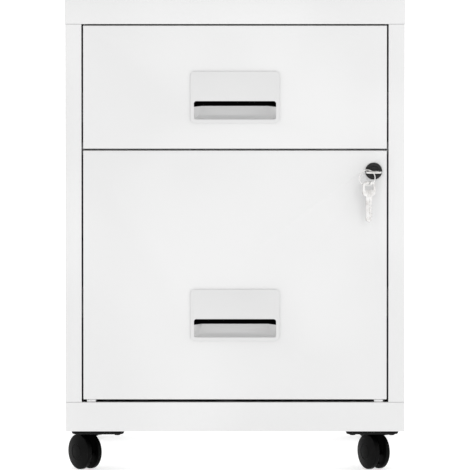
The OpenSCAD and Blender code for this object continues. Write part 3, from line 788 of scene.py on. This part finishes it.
def screw_places(node):
    """Where each screw's head sits, which way it points, and how long the shanks are."""
    places, length = [], 0.0
    for points in solids_of(node):
        low, high = corners_of(points)
        size, middle = high - low, (low + high) / 2
        axis = min(range(3), key=lambda i: abs(size[i - 1] - size[i - 2]))
        across = [i for i in range(3) if i != axis]
        wide = [p[axis] for p in points
                if max(abs(p[i] - middle[i]) for i in across) > HEAD_TEST * SHANK_RADIUS]
        up = 1 if sum(wide) / len(wide) > middle[axis] else -1
        direction = Vector([up if i == axis else 0 for i in range(3)])
        tip = high[axis] if up > 0 else low[axis]
        seat = middle.copy()
        seat[axis] = tip - up * HEAD_HEIGHT
        places.append((seat, direction))
        length = size[axis] - HEAD_HEIGHT
    return places, length


# %% The screw, pulled up from its shank
DRIVE_RADIUS = 1.3 * MM
DRIVE_SINK = 0.6
DOME = ((0.5, 1.0), (0.25, 0.93), (0.17, 0.82), (0.08, 0.72))
top_share = math.prod(scale for rise, scale in DOME)

screw = Growth("pan_head_screw", Head_Radius="Float", Head_Height="Float", Shank_Radius="Float",
               Shank_Length="Float", Drive_Radius="Float", Material="Material")
head_r, head_h = screw.value("Head_Radius"), screw.value("Head_Height")
shank_r, drive_r = screw.value("Shank_Radius"), screw.value("Drive_Radius")
shank = screw.node("GeometryNodeMeshCylinder", {},
                   {"Vertices": 24, "Radius": shank_r, "Depth": screw.value("Shank_Length")}, "Mesh")
lowered = screw.node("GeometryNodeTransform", {},
                     {"Geometry": shank, "Translation": screw.vector(z=screw.value("Shank_Length") * -0.5)})
body, top = screw.pull(lowered, shank.other("Top"), 0.0, head_r / shank_r)
for rise, scale in DOME:
    body, top = screw.pull(body, top, head_h * rise, scale)
body, top = screw.pull(body, top, 0.0, drive_r / (head_r * top_share))
body, top = screw.pull(body, top, head_h * -DRIVE_SINK, 0.9)
screw.finish(body)

for node, name in (("slide_screws", "slide_fixing_screws"), ("upper_drawer_screws", "upper_tray_screws"),
                   ("lower_drawer_screws", "lower_tray_screws"), ("caster_screws", "caster_fixing_screws"),
                   ("cam_screw", "cam_fixing_screw")):
    seats, shank_length = screw_places(node)
    grow(screw, name, seats, [node], Head_Radius=HEAD_RADIUS, Head_Height=HEAD_HEIGHT,
         Shank_Radius=SHANK_RADIUS, Shank_Length=shank_length, Drive_Radius=DRIVE_RADIUS)

# %% [markdown]
# ## Ball cages
#
# Between the slide members, short nylon strips hold a row of balls at an even pitch. The strip
# has a collar round each ball. One tree makes the strip, its collars and its balls, from a count
# and a pitch, and a copy goes to the start of each CAD cage.

# %% The cage and its balls
cage = Growth("ball_cage", Count="Int", Pitch="Float", Ball_Radius="Float", Strip_Width="Float",
              Strip_Thickness="Float", Material="Material")
count, pitch, ball_r = cage.value("Count"), cage.value("Pitch"), cage.value("Ball_Radius")
strip_w, strip_t = cage.value("Strip_Width"), cage.value("Strip_Thickness")
first_ball = cage.vector(z=pitch * 0.5)
row = cage.node("GeometryNodeMeshLine", {},
                {"Count": count, "Start Location": first_ball, "Offset": cage.vector(z=pitch)})
ball = cage.node("GeometryNodeMeshIcoSphere", {}, {"Radius": ball_r, "Subdivisions": 3})
collar = cage.node("GeometryNodeMeshCylinder", {},
                   {"Vertices": 16, "Radius": strip_w * 0.5, "Depth": strip_t * 1.6}, "Mesh")
upright_collar = cage.node("GeometryNodeTransform", {}, {"Geometry": collar, "Rotation": (0, math.pi / 2, 0)})
seat_unit = cage.node("GeometryNodeJoinGeometry", {}, {"Geometry": [ball, upright_collar]})
seated = cage.node("GeometryNodeInstanceOnPoints", {}, {"Points": row, "Instance": seat_unit})
length = count * pitch
blank = cage.node("GeometryNodeMeshCube", {}, {"Size": cage.vector(strip_t, strip_w * 0.8, length)})
strip = cage.node("GeometryNodeTransform", {},
                  {"Geometry": blank, "Translation": cage.vector(z=length * 0.5)})
cage.finish(cage.node("GeometryNodeJoinGeometry", {}, {"Geometry": [strip, seated]}))

BALL_PITCH = 14 * MM
STRIP_THICKNESS = 0.8 * MM
for level in ("upper", "lower"):
    node = f"{level}_ball_cages"
    boxes = [corners_of(points) for points in solids_of(node)]
    starts = [(Vector(((low.x + high.x) / 2, low.y, (low.z + high.z) / 2)), Vector((0, 1, 0)))
              for low, high in boxes]
    low, high = boxes[0]
    grow(cage, f"{level}_ball_strips", starts, [node], Count=round((high.y - low.y) / BALL_PITCH),
         Pitch=BALL_PITCH, Ball_Radius=(high.z - low.z) / 2, Strip_Width=high.x - low.x,
         Strip_Thickness=STRIP_THICKNESS)

# %% [markdown]
# ## Floor and light
#
# A white room lights the cabinet evenly from all sides, as in a catalogue. A small lamp to the
# right of the camera adds soft shadows to the left of the keys, and a weak one above brightens
# the tops of the folds. The floor glows a little, so that it blends with the background.

# %% Build the studio
FLOOR_HALF = 30

floor_mesh = bpy.data.meshes.new("studio_floor")
floor_shape = bmesh.new()
bmesh.ops.create_grid(floor_shape, x_segments=8, y_segments=8, size=FLOOR_HALF)
floor_shape.to_mesh(floor_mesh)
floor_shape.free()
floor = bpy.data.objects.new("studio_floor", floor_mesh)
bpy.context.scene.collection.objects.link(floor)
paper = Shader("studio_paper", Base_Color=grey(0.7), Roughness=0.9, Specular_IOR_Level=0.0,
               Emission_Color=grey(1.0), Emission_Strength=0.58)
floor_mesh.materials.append(paper.material)

world = bpy.data.worlds.new("studio_world")
world.use_nodes = True
sky = world.node_tree.nodes["Background"]
sky.inputs["Color"].default_value = grey(1.0)
sky.inputs["Strength"].default_value = 1.0
bpy.context.scene.world = world


def soft_lamp(name, size, power, place, target):
    lamp_data = bpy.data.lights.new(name, "AREA")
    lamp_data.shape = "SQUARE"
    lamp_data.size = size
    lamp_data.energy = power
    lamp = bpy.data.objects.new(name, lamp_data)
    lamp.location = place
    lamp.rotation_euler = (Vector(target) - Vector(place)).to_track_quat("-Z", "Y").to_euler()
    bpy.context.scene.collection.objects.link(lamp)


middle = (0, 0, 0.3)
soft_lamp("main_lamp", 0.5, 3.0, (1.15, -2.2, 1.05), middle)
soft_lamp("top_lamp", 1.8, 1.0, (0.2, -0.4, 2.8), middle)
print("studio: floor, sky and two lamps")
